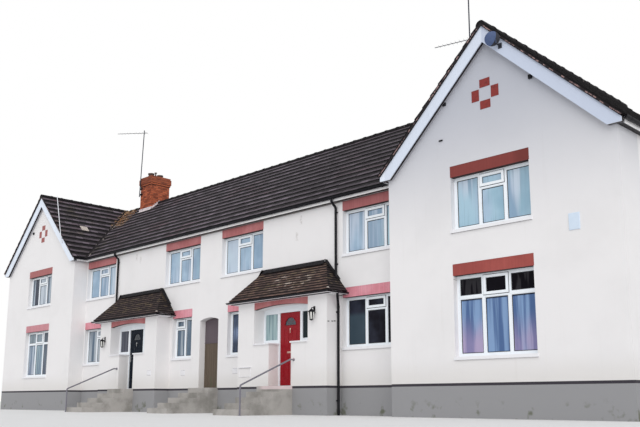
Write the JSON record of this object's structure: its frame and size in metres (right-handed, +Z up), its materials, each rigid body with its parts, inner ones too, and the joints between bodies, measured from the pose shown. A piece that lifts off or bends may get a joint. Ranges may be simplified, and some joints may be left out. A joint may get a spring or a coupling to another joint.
{
  "type": "terraced house row",
  "caption": "Terraced two-storey house row with projecting gabled wings, hipped entrance porches, a passage, tiled roofs, chimneys and white rendered walls.",
  "frame": {"origin": "on the ground, on the face of the main front wall, in the middle of the passage", "axes": "+X along the front to the right, +Y back into the houses, +Z up"},
  "size_m": [27.8446, 8.9162, 12.2],
  "materials": {
    "render": "matt painted masonry",
    "floor": "boards",
    "roof_tiles": "weathered concrete tiles",
    "white_boards": "satin",
    "white_plastic": "satin gloss",
    "black_plastic": "gloss",
    "brick": "rough",
    "clay": "rough",
    "aerial_metal": "dull",
    "window_glass": "clear",
    "white_sills": "painted",
    "red_paint": "painted",
    "concrete": "rough",
    "rail_paint": "satin",
    "black_metal": "satin",
    "door_red": "gloss",
    "door_dark": "gloss",
    "door_brown": "weathered"
  },
  "bodies": {
    "row": {"front_wall_upper": "render", "front_wall_inner": "render", "front_wall_outer": "render", "passage_arch": "render", "wing_front_left": "render", "wing_front_right": "render", "flank_walls": "render", "rear_wall": "render", "rear_gables": "render", "ground_floor": "floor", "first_floor": "floor", "main_roof_front": "roof_tiles", "main_roof_rear": "roof_tiles", "wing_roof_left": "roof_tiles", "wing_roof_right": "roof_tiles", "ridge_tiles": "roof_tiles", "bargeboards": "white_boards", "eaves_boards": "white_boards", "gutters": "white_plastic", "porch_gutters": "black_plastic", "downpipes": "black_plastic", "chimney_left": "brick", "chimney_right": "brick", "chimney_pots": "clay", "tv_aerials": "aerial_metal", "satellite_dish": "aerial_metal", "window_frames_upper": "white_plastic", "window_frames_lower": "white_plastic", "window_glass_upper": "window_glass", "window_glass_lower": "window_glass", "window_sills": "white_sills", "lintels": "red_paint", "gable_tiles": "red_paint", "porch_piers": "render", "porch_dwarf_walls": "render", "porch_heads": "render", "porch_roofs": "roof_tiles", "porch_screens": "white_plastic", "entrance_steps": "concrete", "handrails": "rail_paint", "lanterns": "black_metal", "door_hinges": "aerial_metal"},
    "right_front_door": {"right_door": "door_red", "right_door_light": "window_glass"},
    "left_front_door": {"left_door": "door_dark", "left_door_light": "window_glass"},
    "passage_leaf": {"passage_door": "door_brown"}
  },
  "joints": [
    {"name": "right_door_hinge", "type": "hinge", "parent": "row", "child": "right_front_door", "pos_m": [3.496, -0.0837, 0.78], "axis": [0, 0, 1], "range_deg": [0, 90]},
    {"name": "left_door_hinge", "type": "hinge", "parent": "row", "child": "left_front_door", "pos_m": [-3.496, -0.0837, 0.78], "axis": [0, 0, -1], "range_deg": [0, 90]},
    {"name": "passage_door_hinge", "type": "hinge", "parent": "row", "child": "passage_leaf", "pos_m": [-0.4665, 0.2573, 0.78], "axis": [0, 0, 1], "range_deg": [0, 90]}
  ]
}
